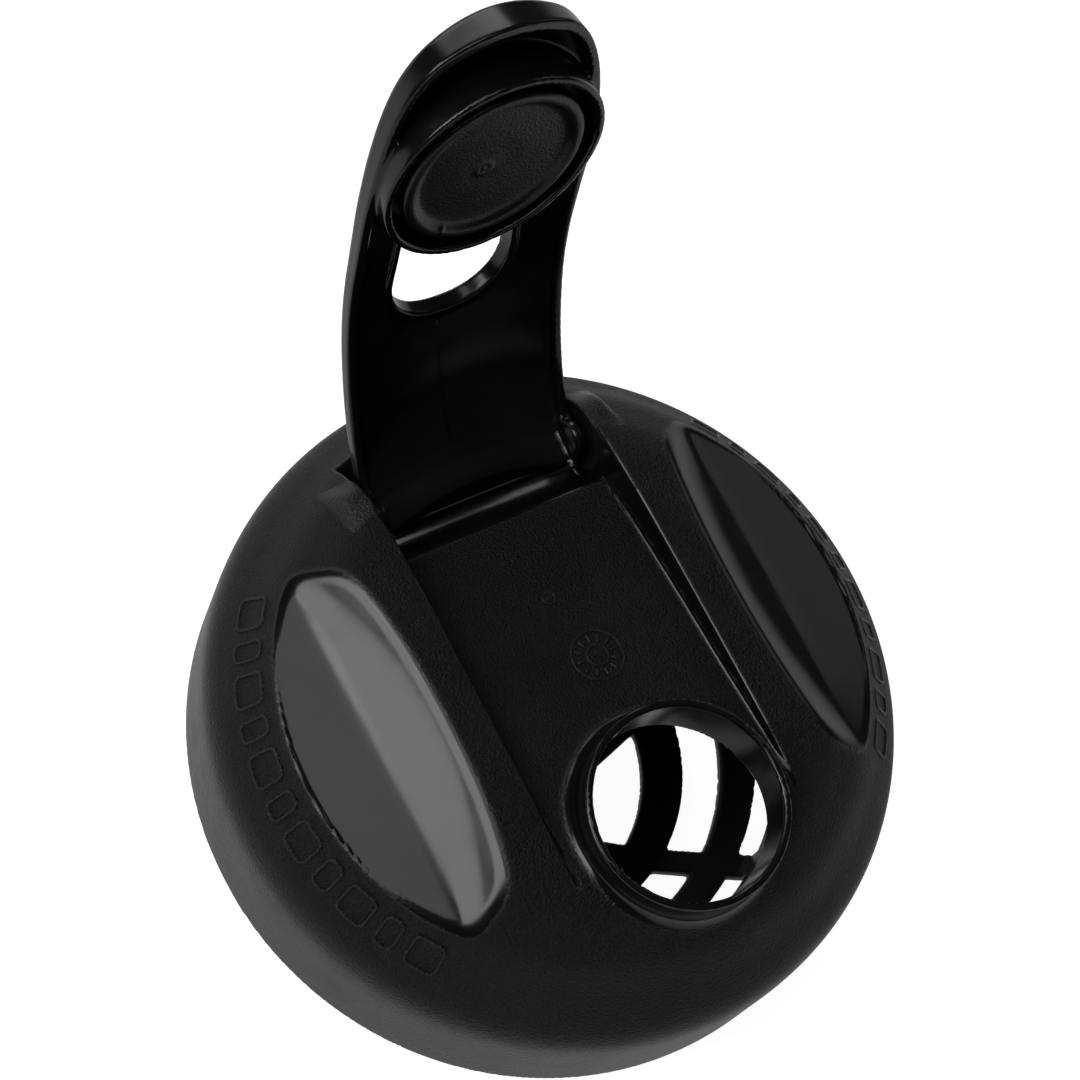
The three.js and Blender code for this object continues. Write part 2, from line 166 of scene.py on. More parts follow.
def surface_nets(values):
    """Cell corners to vertices (in grid units) and quads of a closed surface."""
    inside = values < 0
    shape = np.array(values.shape) - 1
    corners = np.zeros(shape, np.uint8)
    for bit in range(8):
        dx, dy, dz = bit & 1, bit >> 1 & 1, bit >> 2 & 1
        part = inside[dx:dx + shape[0], dy:dy + shape[1], dz:dz + shape[2]]
        corners += part.astype(np.uint8) << bit
    cells = np.argwhere((corners > 0) & (corners < 255))
    index = np.full(shape, -1, np.int32)
    index[tuple(cells.T)] = np.arange(len(cells))
    total = np.zeros((len(cells), 3))
    count = np.zeros(len(cells))
    for axis in range(3):
        others = [a for a in range(3) if a != axis]
        for first in (0, 1):
            for second in (0, 1):
                start = cells.copy()
                start[:, others[0]] += first
                start[:, others[1]] += second
                end = start.copy()
                end[:, axis] += 1
                a = values[tuple(start.T)]
                b = values[tuple(end.T)]
                crossed = (a < 0) != (b < 0)
                share = np.where(crossed, a / np.where(crossed, a - b, 1), 0)
                point = start.astype(float)
                point[:, axis] += share
                total[crossed] += point[crossed]
                count += crossed
    quads = []
    for axis in range(3):
        others = [a for a in range(3) if a != axis]
        head = [slice(None)] * 3
        tail = [slice(None)] * 3
        head[axis] = slice(0, -1)
        tail[axis] = slice(1, None)
        a, b = inside[tuple(head)], inside[tuple(tail)]
        crossed = a != b
        edges = np.argwhere(crossed)
        keep = (edges[:, others[0]] > 0) & (edges[:, others[1]] > 0)
        keep &= (edges[:, others[0]] < shape[others[0]]) & (edges[:, others[1]] < shape[others[1]])
        edges = edges[keep]
        outward = a[tuple(edges.T)]
        ring = []
        for first, second in ((0, 0), (1, 0), (1, 1), (0, 1)):
            cell = edges.copy()
            cell[:, others[0]] -= first
            cell[:, others[1]] -= second
            ring.append(index[tuple(cell.T)])
        quad = np.stack(ring, -1)
        flip = outward if axis != 1 else ~outward
        quad[flip] = quad[flip][:, ::-1]
        quads.append(quad)
    return total / count[:, None], np.concatenate(quads)[:, ::-1]


def field_piece(name, field, low, high, step, place, material, body, nodes=()):
    """Meshes a field in the box, moves it into the row frame and makes it a piece that rides on a body."""
    low = np.array(low, float) - step * OFF_GRID
    counts = np.ceil((np.array(high, float) + step - low) / step).astype(int)
    points, quads = surface_nets(band_values(field, low, counts, step))
    points = low + points * step
    for _ in range(PULLS):
        slope = gradient(field, points, step * PULL_PROBE)
        size = np.maximum((slope**2).sum(1), FLATTEST)
        move = slope * (evaluate(field, points) / size)[:, None]
        length = np.maximum(np.linalg.norm(move, axis=1), 1e-9)
        points -= move * np.minimum(1, PULL_LIMIT * step / length)[:, None]
    normals = gradient(field, points, step * NORMAL_PROBE)
    return mesh_piece(name, points, quads, place, material, body, nodes, normals), points


def mesh_piece(name, points, faces, place, material, body, nodes=(), normals=None):
    placed = place(np.asarray(points, float))
    mesh = bpy.data.meshes.new(name)
    mesh.from_pydata(placed, [], faces.tolist() if isinstance(faces, np.ndarray) else faces)
    mesh.validate()
    mesh.shade_smooth()
    if normals is not None:
        turned = place(np.asarray(points) + normals) - placed
        turned /= np.maximum(np.linalg.norm(turned, axis=1), 1e-12)[:, None]
        mesh.normals_split_custom_set_from_vertices(turned)
    obj = bpy.data.objects.new(name, mesh)
    bpy.context.scene.collection.objects.link(obj)
    mesh.materials.append(material)
    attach(obj, body)
    if nodes:
        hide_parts(*nodes)
    return obj


def lid_place(points):
    """Lid drawing in millimetres to the row frame in metres."""
    return points * MM + np.array([0, LID_AXIS_Y, LID_RIM_Z])


def cap_place(points):
    """The flip cap is drawn closed; this turns it back about its hinge, then into the row frame."""
    y = points[:, 1] - HINGE_Y
    z = points[:, 2] - HINGE_Z
    c, s = math.cos(CAP_OPEN_ANGLE), math.sin(CAP_OPEN_ANGLE)
    return lid_place(np.stack([points[:, 0], HINGE_Y + y * c + z * s, HINGE_Z - y * s + z * c], -1))


# ---- Outlines ----
def turned_field(outline, centre_z):
    """Distance to a turned surface, star shaped about a point on the axis at centre_z."""
    rs, zs = smooth_curve(outline, 4000)
    angle = np.arctan2(zs - centre_z, rs)
    reach = np.hypot(rs, zs - centre_z)
    order = np.argsort(angle)
    angle, reach = angle[order], reach[order]
    scale = 1 / np.sqrt(1 + (np.gradient(reach, angle) / reach)**2)

    def field(r, z):
        turn = np.arctan2(z - centre_z, r)
        return (np.hypot(r, z - centre_z) - np.interp(turn, angle, reach)) * np.interp(turn, angle, scale)
    return field


def outline_field(outline, rounding):
    """Signed distance to a closed outline, grown and rounded by a radius."""
    points = np.array(outline, float)
    ends = np.roll(points, 1, axis=0)

    def field(a, b):
        inside = np.zeros(a.shape, bool)
        nearest = np.full(a.shape, np.inf)
        for (ax, ay), (bx, by) in zip(points, ends):
            ex, ey = bx - ax, by - ay
            wx, wy = a - ax, b - ay
            share = np.clip((wx * ex + wy * ey) / (ex * ex + ey * ey), 0, 1)
            nearest = np.minimum(nearest, (wx - ex * share)**2 + (wy - ey * share)**2)
            if ey != 0:
                inside ^= ((ay > b) != (by > b)) & (wx < ex * wy / ey)
        return np.where(inside, -1, 1) * np.sqrt(nearest) - rounding
    return field


# ---- Lid shell ----
TOP_WALL = 2.2
DOME = [[0, 35.5], [18, 35.3], [27, 34.8], [33.5, 33.7], [38, 31.1], [41, 28.6], [44, 24.6], [46.2, 22],
        [47.6, 20], [48.57, 17.6], [48.9, 14.5], [48.95, 8], [49, 0], [49, -12]]
NECK_SLOT_INNER = 40
NECK_SLOT_OUTER = 46.8
NECK_SLOT_TOP_Z = 18
SEAL_RING_INNER = 38.5
SEAL_RING_BOTTOM_Z = 7
THREAD_PITCH = 5
THREAD_START_Z = 4
THREAD_END = 3 * math.pi
THREAD_CREST_RADIUS = 45
THREAD_CREST_HALF_WIDTH = 0.5
THREAD_FLANK_SLOPE = 0.45
THREAD_FADE = 0.35  # radians at each end
THREAD_DEPTH = 1.9

CHANNEL_HALF_WIDTH = 16.8
CHANNEL_FLOOR = [[-60, 36.5], [-36, 35.7], [-29, 34.9], [-17, 33.4], [-8, 32.3], [2.5, 31.3], [13, 30.1],
                 [19, 29.2], [23.5, 28.2], [34, 26]]
POCKET_RADIUS = 6.8
POCKET_FLOOR_END = [33.7, 21.9]
POCKET_BACK = [41.8, 28.4]
BOSS_RADIUS = 5.1
BOSS_OUTER_X = 20.8
TRUNNION_RADIUS = 2
TRUNNION_CLEARANCE = 0.08
TRUNNION_END_X = 19.9

SCOOP_OUTER_RADIUS = 40.8
SCOOP_FACETS = [[30.8, 30.2, math.radians(11.5)], [30.8, 30.2, math.radians(27)],
                [25.3, 33, math.radians(39)]]  # [x, z] on each facet, and its slope
SCOOP_END_DROP = [-0.7, -0.7, 0.7]
SCOOP_HALF_LENGTH = 24

SPOUT_Y = -24
SPOUT_RIM_Z = 39.2
SPOUT_TILT = math.radians(3)
SPOUT_OUTER_RADIUS = 13.9
SPOUT_BORE_RADIUS = 12.8
SPOUT_BASE_RADIUS = 14.4
SPOUT_BOTTOM = -12
SPOUT_FILLET = 1.6

lid_outside = turned_field(DOME, 10)
channel_floor = height_field(smooth_curve(CHANNEL_FLOOR, 2000))
EDGE = 0.3
spout_wall = outline_field([[0, SPOUT_BOTTOM + EDGE], [SPOUT_BASE_RADIUS - EDGE, SPOUT_BOTTOM + EDGE],
                            [SPOUT_OUTER_RADIUS - EDGE, -4.4],
                            [SPOUT_OUTER_RADIUS - EDGE, -EDGE], [0, -EDGE]], EDGE)


def channel_field(side, y, z):
    """The hollow that the closed cap lies in, and the pocket that its hinge end swings in."""
    trough = np.maximum(-channel_floor(y, z), y - HINGE_Y)
    pocket = np.hypot(y - HINGE_Y, z - HINGE_Z) - POCKET_RADIUS
    rise = (POCKET_BACK[1] - POCKET_FLOOR_END[1]) / (POCKET_BACK[0] - POCKET_FLOOR_END[0])
    ramp = (z - POCKET_FLOOR_END[1] - rise * (y - POCKET_FLOOR_END[0])) / math.hypot(1, rise)
    behind = np.maximum(-smooth_max(ramp, z - POCKET_BACK[1], 1), HINGE_Y - y)
    section = smooth_min(smooth_min(trough, pocket, 0.5), behind, 0.6)
    return smooth_max(section, side - CHANNEL_HALF_WIDTH, 0.5)


def scoop_field(side, y, z):
    """A finger scoop: a floor falling outwards from a crease, and two facets rising inwards from it."""
    hollow = np.hypot(side, y) - SCOOP_OUTER_RADIUS
    towards_end = (y / SCOOP_HALF_LENGTH)**2
    for (x0, z0, slope), end_drop in zip(SCOOP_FACETS, SCOOP_END_DROP):
        over = z - z0 - end_drop * towards_end - math.tan(slope) * (x0 - side)
        hollow = smooth_max(hollow, -over * math.cos(slope), 0.5)
    return hollow


def on_spout(points):
    """Radius about the spout's axis and height over its rim."""
    y = points[:, 1] - SPOUT_Y
    z = points[:, 2] - SPOUT_RIM_Z
    c, s = math.cos(SPOUT_TILT), math.sin(SPOUT_TILT)
    return np.hypot(points[:, 0], y * c + z * s), z * c - y * s


def thread_field(points, r):
    """The screw thread inside the skirt, fading out at both ends."""
    turn = np.arctan2(points[:, 1], points[:, 0]) % (2 * math.pi)
    result = np.full(len(points), FAR)
    for start in (0, 2 * math.pi):
        along = turn + start
        off = np.abs(points[:, 2] - THREAD_START_Z - THREAD_PITCH * along / (2 * math.pi))
        fade = np.clip(1 - np.minimum(along, THREAD_END - along) / THREAD_FADE, 0, 2)
        crest = THREAD_CREST_RADIUS + THREAD_DEPTH * fade
        flank = off - THREAD_CREST_HALF_WIDTH - THREAD_FLANK_SLOPE * (r - crest)
        result = np.minimum(result, smooth_max(flank, crest - r, 0.5))
    return result


def lid_hollows(outside, channel, scoop, r, z):
    """The hollow under the dome, and the slot that the bottle's neck goes into."""
    middle = smooth_max(outside + TOP_WALL, r - SEAL_RING_INNER, 1)
    middle = smooth_max(middle, TOP_WALL - channel, 1)
    middle = smooth_max(middle, TOP_WALL - scoop, 1)
    slot = np.maximum(np.maximum(NECK_SLOT_INNER - r, r - NECK_SLOT_OUTER), z - NECK_SLOT_TOP_Z)
    under_ring = np.maximum(np.maximum(NECK_SLOT_INNER - 2 - r, r - NECK_SLOT_INNER - 0.5),
                            z - SEAL_RING_BOTTOM_Z)
    return middle, np.minimum(slot, under_ring)


def add_hinge_bosses(shell, side, y, z):
    """A soft boss on each side of the pocket, with a blind hole for the cap's trunnion."""
    from_hinge = np.hypot(y - HINGE_Y, z - HINGE_Z)
    boss = smooth_max(from_hinge - BOSS_RADIUS, side - BOSS_OUTER_X, 1.6)
    boss = smooth_max(boss, CHANNEL_HALF_WIDTH - side, 0.4)
    shell = smooth_min(shell, boss, 0.8)
    pin_hole = np.maximum(from_hinge - TRUNNION_RADIUS - TRUNNION_CLEARANCE, side - TRUNNION_END_X - 0.4)
    pin_hole = np.maximum(pin_hole, CHANNEL_HALF_WIDTH - 1 - side)
    return cut(shell, pin_hole, 0.3)


def lid_field(points):
    x, y, z = points.T
    side = np.abs(x)
    r = np.hypot(x, y)
    outside = lid_outside(r, z)
    channel = channel_field(side, y, z)
    scoop = scoop_field(side, y, z)
    middle, neck_slot = lid_hollows(outside, channel, scoop, r, z)

    shell = cut(cut(outside, channel, 0.7), scoop, 0.6)
    spout_r, spout_z = on_spout(points)
    shell = smooth_min(shell, spout_wall(spout_r, spout_z), SPOUT_FILLET)
    shell = round_max(shell, -z, 0.5)
    shell = cut(shell, middle, 0.5)
    shell = cut(shell, neck_slot, 0.5)
    shell = smooth_max(shell, SPOUT_BORE_RADIUS - spout_r, 0.3)
    shell = add_hinge_bosses(shell, side, y, z)
    return smooth_min(shell, np.maximum(thread_field(points, r), r - NECK_SLOT_OUTER - 0.6), 0.4)


# ---- Flip cap, drawn closed ----
CAP_EDGE = [[-45.4, 40.9], [-42, 41.2], [-38, 41.4], [-31, 41.2], [-24, 41], [-16, 41.1], [-9, 41.3],
            [-4.8, 41.4], [-0.9, 41.3], [2.8, 41], [6.4, 40.5], [9.8, 39.8], [13.1, 39], [16.3, 38.1],
            [19.5, 37], [22.5, 35.8], [26, 34.1], [29, 32.3], [31.6, 30.3], [33.2, 27.9], [33.7, 25]]
CAP_HALF_WIDTH = 16.3
CAP_TIP_HALF_WIDTH = 11
CAP_TAPER_LENGTH = 29
CAP_TIP_RADIUS = 17
CAP_TIP_CORNER = 3
CAP_TIP_DRAFT = 0.2
CAP_WALL = 1.8
CAP_SIDE_WALL = 1.4
CAP_RIM_DEPTH = [[0, 3], [14, 3], [30, 2.5], [50, 2.2], [75, 2.1], [120, 2.1]]
CAP_CROWN = [[0, 1.8], [14, 2.45], [28, 2.95], [46, 3.2], [64, 2.75], [78, 1.85], [91, 1], [110, 1]]
CAP_BACK_BOTTOM_Z = 25.7
CAP_BACK_ARCH = 1.8
CAP_BACK_ARCH_RADIUS = 48
CAP_RIDGE_POINT = [29.55, 31.3]
CAP_RIDGE_SLOPE = math.radians(23)
CAP_RIDGE_BEAD = 0.38
CAP_FLATTEN_FROM = 55  # along the cap, where its inside begins to turn flat
CAP_FLATTEN_OVER = 28
CAP_FLATNESS = 0.55
CAP_FLAT_HEIGHT = 0.75  # share of the roof's rise
CAP_LUG_RADIUS = 2.9
CAP_LUG_THICKNESS = 1.6
RING_OUTER_RADIUS = 15.2
RING_INNER_RADIUS = 14.15
RING_DROP = 3.3
PLUG_POST_RADIUS = 10.7
POST_END_Z = -0.6
HOLE_MIDDLE_Y = -0.3
HOLE_RADIUS = 8.8
HOLE_COLLAR = 0.9
HOLE_COLLAR_Z = 41
HOLE_GAP_TO_RING = 1
HOLE_NARROWING = 0.6
HOLE_END_Y = -11
HOLE_DRAFT = 0.12
HOLE_SQUARENESS = 2.2  # 2 would be a true half circle

CAP_EDGE_LEAD = 15  # the edge line runs on straight by this much at both ends
CAP_EDGE_SMOOTHING = 101  # samples
CAP_TURN_Z = -10  # a point on the drawing's axis that sees the whole edge line

edge_y, edge_z = smooth_curve(CAP_EDGE, 3000, 0.02)
edge_lead = np.linspace(-CAP_EDGE_LEAD, 0, 40)[:-1]
first_turn = np.array([edge_y[1] - edge_y[0], edge_z[1] - edge_z[0]])
first_turn /= np.hypot(*first_turn)
last_turn = np.array([edge_y[-1] - edge_y[-2], edge_z[-1] - edge_z[-2]])
last_turn /= np.hypot(*last_turn)
edge_y = np.concatenate([edge_y[0] + edge_lead * first_turn[0], edge_y,
                         edge_y[-1] - edge_lead[::-1] * last_turn[0]])
edge_z = np.concatenate([edge_z[0] + edge_lead * first_turn[1], edge_z,
                         edge_z[-1] - edge_lead[::-1] * last_turn[1]])
edge_along = np.concatenate([[0], np.cumsum(np.hypot(np.diff(edge_y), np.diff(edge_z)))]) - CAP_EDGE_LEAD
edge_heading = np.unwrap(np.arctan2(np.gradient(edge_z, edge_along), np.gradient(edge_y, edge_along)))
edge_bend = -np.gradient(edge_heading, edge_along)
edge_bend = np.convolve(edge_bend, np.ones(CAP_EDGE_SMOOTHING) / CAP_EDGE_SMOOTHING, "same")
edge_turn = np.arctan2(edge_z - CAP_TURN_Z, edge_y)[::-1]


def cap_coordinates(y, z):
    """The place along the cap's edge line from its tip, and the depth below that line."""
    along = np.interp(np.arctan2(z - CAP_TURN_Z, y), edge_turn, edge_along[::-1])
    for _ in range(5):
        heading = np.interp(along, edge_along, edge_heading)
        c, s = np.cos(heading), np.sin(heading)
        off_y = y - np.interp(along, edge_along, edge_y)
        off_z = z - np.interp(along, edge_along, edge_z)
        depth = off_y * s - off_z * c
        stretch = np.maximum(1 - np.interp(along, edge_along, edge_bend) * depth, 0.4)
        along = np.clip(along + (off_y * c + off_z * s) / stretch, edge_along[0], edge_along[-1])
    return along, depth


def table(points):
    xs, ys = smooth_curve(points, 1500, 0.06)
    return lambda x: np.interp(x, xs, ys)


cap_rim_depth = table(CAP_RIM_DEPTH)
cap_crown = table(CAP_CROWN)


def hole_plan(points, grow):
    """Distance in plan to the finger hole, whose ring side narrows a little."""
    x, y, z = points.T
    down = y - HOLE_MIDDLE_Y
    radius = HOLE_RADIUS + grow - HOLE_DRAFT * (z - HOLE_COLLAR_Z)
    power = HOLE_SQUARENESS
    lower = (np.abs(x)**power + np.maximum(down, 0)**power)**(1 / power) - radius
    narrowing = HOLE_NARROWING * np.maximum(-down, 0) / (HOLE_MIDDLE_Y - HOLE_END_Y)
    return np.maximum(lower + narrowing, HOLE_END_Y - y)


def cap_shape(points):
    """Place along the cap and depth below its edge, and distances past its flank and its tip."""
    side = np.abs(points[:, 0])
    along, depth = cap_coordinates(points[:, 1], points[:, 2])
    narrow = np.maximum(1 - along / CAP_TAPER_LENGTH, 0)
    half_width = CAP_HALF_WIDTH - (CAP_HALF_WIDTH - CAP_TIP_HALF_WIDTH) * narrow**2
    lean = 2 * (CAP_HALF_WIDTH - CAP_TIP_HALF_WIDTH) * narrow / CAP_TAPER_LENGTH
    flank = (side - half_width) / np.sqrt(1 + lean**2)
    bow = np.minimum(side / CAP_TIP_RADIUS, 0.97)
    tip = CAP_TIP_RADIUS * (1 - np.sqrt(1 - bow**2)) - CAP_TIP_DRAFT * depth
    ahead = (tip - along) * np.sqrt(1 - bow**2)
    rise = cap_crown(along) * (1 - np.minimum(side / half_width, 1.1)**2)
    return along, depth, flank, ahead, rise


def cap_outside(points, along, depth, flank, ahead, above):
    """The cap as if it were solid, arched where it meets the hinge pocket."""
    x, z = points[:, 0], points[:, 2]
    bottom = np.maximum(CAP_BACK_BOTTOM_Z - z,
                        CAP_BACK_ARCH_RADIUS - np.hypot(x, z - CAP_BACK_BOTTOM_Z - CAP_BACK_ARCH
                                                        + CAP_BACK_ARCH_RADIUS))
    outside = round_max(round_max(flank, ahead, CAP_TIP_CORNER), above, 0.7)
    outside = smooth_max(outside, depth - cap_rim_depth(along), 0.45)
    return smooth_max(outside, bottom, 1.6)


def cap_inside(points, along, depth, flank, ahead, rise):
    """The hollow between the side walls, and a bead along the ridge where its rear face begins."""
    y, z = points[:, 1], points[:, 2]
    walls = round_max(flank + CAP_SIDE_WALL, ahead + CAP_WALL, 2.2)
    c, s = math.cos(CAP_RIDGE_SLOPE), math.sin(CAP_RIDGE_SLOPE)
    rear = (y - CAP_RIDGE_POINT[0]) * c + (z - CAP_RIDGE_POINT[1]) * s
    flatter = CAP_FLATNESS * np.clip((along - CAP_FLATTEN_FROM) / CAP_FLATTEN_OVER, 0, 1)
    roof_inside = CAP_WALL - rise - flatter * (CAP_FLAT_HEIGHT * cap_crown(along) - rise) - depth
    ceiling = smooth_max(roof_inside, rear, 0.2)
    ridge = np.maximum(np.hypot(roof_inside, rear) - CAP_RIDGE_BEAD, walls)
    return smooth_max(walls, ceiling, 0.8), ridge


def add_seal_mounts(arm, points, under_roof):
    """The ring that closes round the spout, and the post that the stopper is pressed over."""
    spout_r, spout_z = on_spout(points)
    ring = np.abs(spout_r - (RING_INNER_RADIUS + RING_OUTER_RADIUS) / 2)
    ring = smooth_max(ring - (RING_OUTER_RADIUS - RING_INNER_RADIUS) / 2, -RING_DROP - spout_z, 0.35)
    arm = smooth_min(arm, np.maximum(ring, under_roof), 0.7)
    post = smooth_max(spout_r - PLUG_POST_RADIUS, POST_END_Z - spout_z, 0.3)
    return smooth_min(arm, np.maximum(post, under_roof), 0.5)


def cut_finger_hole(arm, points, under_roof):
    spout_r, _ = on_spout(points)
    collar = smooth_max(hole_plan(points, HOLE_COLLAR), HOLE_COLLAR_Z - points[:, 2], 0.4)
    collar = np.maximum(np.maximum(collar, under_roof), RING_OUTER_RADIUS - 0.2 - spout_r)
    arm = smooth_min(arm, collar, 0.7)
    hole = smooth_max(hole_plan(points, 0), RING_OUTER_RADIUS + HOLE_GAP_TO_RING - spout_r, 0.8)
    return cut(arm, hole, 0.4)


def add_trunnions(arm, side, y, z):
    from_hinge = np.hypot(y - HINGE_Y, z - HINGE_Z)
    lug = smooth_max(from_hinge - CAP_LUG_RADIUS, side - CAP_HALF_WIDTH, 0.5)
    lug = smooth_max(lug, CAP_HALF_WIDTH - CAP_LUG_THICKNESS - side, 0.5)
    arm = smooth_min(arm, lug, 1.2)
    pin = smooth_max(from_hinge - TRUNNION_RADIUS, side - TRUNNION_END_X, 0.4)
    return smooth_min(arm, np.maximum(pin, CAP_HALF_WIDTH - 1 - side), 0.2)


def cap_field(points):
    along, depth, flank, ahead, rise = cap_shape(points)
    above = -rise - depth
    hollow, ridge = cap_inside(points, along, depth, flank, ahead, rise)
    arm = cut(cap_outside(points, along, depth, flank, ahead, above), hollow, 0.35)
    arm = smooth_min(arm, ridge, 0.15)
    under_roof = above + 0.4
    arm = add_seal_mounts(arm, points, under_roof)
    arm = cut_finger_hole(arm, points, under_roof)
    return add_trunnions(arm, np.abs(points[:, 0]), points[:, 1], points[:, 2])


# ---- Stopper: a dished cup pressed over the post inside the cap ----
PLUG_RADIUS = 12.55
PLUG_DROP = 3.15
PLUG_WALL = 1.4
PLUG_TOP = 0.6
PLUG_POST_GAP_Z = -0.9
plug_face = table([[-14, 0.4], [0, 1.05], [5, 0.98], [9, 0.8], [10.2, 0.66], [10.7, 0.42], [11, 0.1],
                   [11.4, 0], [12, 0], [14, 0]])
PLUG_GATE = [-1, 0.8]
GATE_RING_RADIUS = 1
GATE_RING_HEIGHT = 0.12
GATE_DOT_HEIGHT = 0.2
PLUG_VESTIGE = [-6.1, 9.4]
VESTIGE_HEIGHT = 0.35


def plug_field(points):
    spout_r, spout_z = on_spout(points)
    face = plug_face(spout_r) - PLUG_DROP - spout_z
    plug = round_max(face, spout_r - PLUG_RADIUS, 0.55)
    plug = smooth_max(plug, spout_z - PLUG_TOP, 0.3)
    x = points[:, 0]
    y = points[:, 1] - SPOUT_Y
    gate = np.hypot(x - PLUG_GATE[0], y - PLUG_GATE[1])
    gate_ring = GATE_RING_HEIGHT * np.exp(-((gate - GATE_RING_RADIUS) / 0.3)**2)
    plug -= gate_ring + GATE_DOT_HEIGHT * np.exp(-(gate / 0.35)**2)
    vestige = np.hypot(x - PLUG_VESTIGE[0], y - PLUG_VESTIGE[1])
    plug -= VESTIGE_HEIGHT * np.exp(-(vestige / 0.4)**2) * (face > -1.5)
    return cut(plug, np.maximum(spout_r - PLUG_RADIUS + PLUG_WALL, PLUG_POST_GAP_Z - spout_z), 0.3)


# ---- Pieces under the lid ----
GRID_BOWL = [[0, -18.5], [14, -18.5], [18, -17.2], [22, -14.6], [26.7, -11], [30.4, -7.4], [36.2, -1.8],
             [38.2, 0.4]]
GRID_THICKNESS = 2
GRID_RIM_RADIUS = 38.2
GRID_RIM_WALL = 1.6
GRID_COLLAR_TOP_Z = 12
GRID_WINDOWS = [[7.6, 10.6], [14, 21.3], [26.5, 30.9], [35.1, 40]]
GRID_WINDOW_TOP_Z = 1.2
GRID_RIB_WIDTH = 3.9
GRID_RIB_OFFSET = -6.7
GRID_RIB_COUNT = 6
GRID_FIRST_RIB_ANGLE = math.radians(-45)
grid_inner = [[r, z] for r, z in GRID_BOWL[:-1]]
grid_under = [[r, z - GRID_THICKNESS] for r, z in GRID_BOWL[:-1]]
grid_inset = 0.3
grid_wall = outline_field(
    [[-5, GRID_BOWL[0][1] - grid_inset]]
    + [[r - 0.1, z - grid_inset * 1.25] for r, z in grid_inner[1:]]
    + [[GRID_RIM_RADIUS - GRID_RIM_WALL + grid_inset, -1.2],
       [GRID_RIM_RADIUS - GRID_RIM_WALL + grid_inset, GRID_COLLAR_TOP_Z - grid_inset],
       [GRID_RIM_RADIUS - grid_inset, GRID_COLLAR_TOP_Z - grid_inset],
       [GRID_RIM_RADIUS - grid_inset, -1.6]]
    + [[r - 0.1, z + grid_inset * 1.25] for r, z in grid_under[:0:-1]]
    + [[-5, grid_under[0][1] + grid_inset]], grid_inset)


def grid_field(points):
    x, y, z = points.T
    r = np.hypot(x, y)
    grid = grid_wall(r, z)
    rib = np.full(len(points), FAR)
    for index in range(GRID_RIB_COUNT):
        turn = GRID_FIRST_RIB_ANGLE + index * 2 * math.pi / GRID_RIB_COUNT
        along = x * math.cos(turn) + y * math.sin(turn)
        aside = y * math.cos(turn) - x * math.sin(turn) - GRID_RIB_OFFSET
        rib = np.minimum(rib, np.maximum(np.abs(aside) - GRID_RIB_WIDTH / 2, -along))
    for inner, outer in GRID_WINDOWS:
        window = np.maximum(np.maximum(inner - r, r - outer), z - GRID_WINDOW_TOP_Z)
        grid = cut(grid, round_max(window, -rib, 0.4), 0.4)
    return grid


GASKET_INNER = NECK_SLOT_INNER + 0.3
GASKET_OUTER = NECK_SLOT_OUTER - 0.3
GASKET_TOP = NECK_SLOT_TOP_Z - 0.3
GASKET_THICKNESS = 1.6
GASKET_GROOVES = (42.2, 44.6)
gasket_section = outline_field([[GASKET_INNER + 0.3, GASKET_TOP - GASKET_THICKNESS + 0.3],
                                [GASKET_OUTER - 0.3, GASKET_TOP - GASKET_THICKNESS + 0.3],
                                [GASKET_OUTER - 0.3, GASKET_TOP - 0.3],
                                [GASKET_INNER + 0.3, GASKET_TOP - 0.3]], 0.3)


def gasket_field(points):
    """A flat ring with two shallow sealing grooves moulded in its underside."""
    r = np.hypot(points[:, 0], points[:, 1])
    ring = gasket_section(r, points[:, 2])
    under = points[:, 2] < GASKET_TOP - GASKET_THICKNESS / 2
    for groove in GASKET_GROOVES:
        ring += 0.28 * np.exp(-((r - groove) / 0.55)**2) * under
    return ring


# ---- Raised marks: thin beads laid on a surface ----
def bead_mesh(paths, half_width, height):
    """Closed beads of one section, joined into one mesh. A path is (points, normals), a closed loop."""
    section = np.array([[-1, -0.8], [-0.75, 0.55], [-0.35, 1], [0.35, 1], [0.75, 0.55], [1, -0.8]])
    section = section * [half_width, height]
    points, faces = [], []
    for path, normals in paths:
        ahead = np.roll(path, -1, axis=0) - np.roll(path, 1, axis=0)
        ahead /= np.linalg.norm(ahead, axis=1)[:, None]
        aside = np.cross(ahead, normals)
        start = sum(len(part) for part in points)
        rows = [path + aside * a + normals * b for a, b in section]
        points.append(np.stack(rows, 1).reshape(-1, 3))
        count, sides = len(path), len(section)
        for i in range(count):
            for k in range(sides):
                a, b = start + i * sides, start + (i + 1) % count * sides
                faces.append((a + k, a + (k + 1) % sides, b + (k + 1) % sides, b + k))
    return np.concatenate(points), faces


def rounded_loop(width, height, corner, steps=5):
    """Corner points of a rounded rectangle about the origin, as [u, v] rows."""
    loop = []
    for quarter in range(4):
        u = (width / 2 - corner) * (1 if quarter in (0, 3) else -1)
        v = (height / 2 - corner) * (1 if quarter < 2 else -1)
        for step in range(steps + 1):
            turn = (quarter + step / steps) * math.pi / 2
            loop.append([u + corner * math.cos(turn), v + corner * math.sin(turn)])
    return np.array(loop)


def densify(loop, spacing):
    ends = np.roll(loop, -1, axis=0)
    result = []
    for start, end in zip(loop, ends):
        count = max(int(np.hypot(*(end - start)) / spacing), 1)
        result += [start + (end - start) * k / count for k in range(count)]
    return np.array(result)


def surface_normals(field, points):
    slope = gradient(field, points, 0.05)
    return slope / np.linalg.norm(slope, axis=1)[:, None]


SHOULDER_RADIUS = 43.9
SHOULDER_MARKS = 11
SHOULDER_PITCH = math.radians(7)
SHOULDER_WIDTHS = (4.3, 2.6)
SHOULDER_HEIGHT = 4.6
SHOULDER_CORNER = 0.9

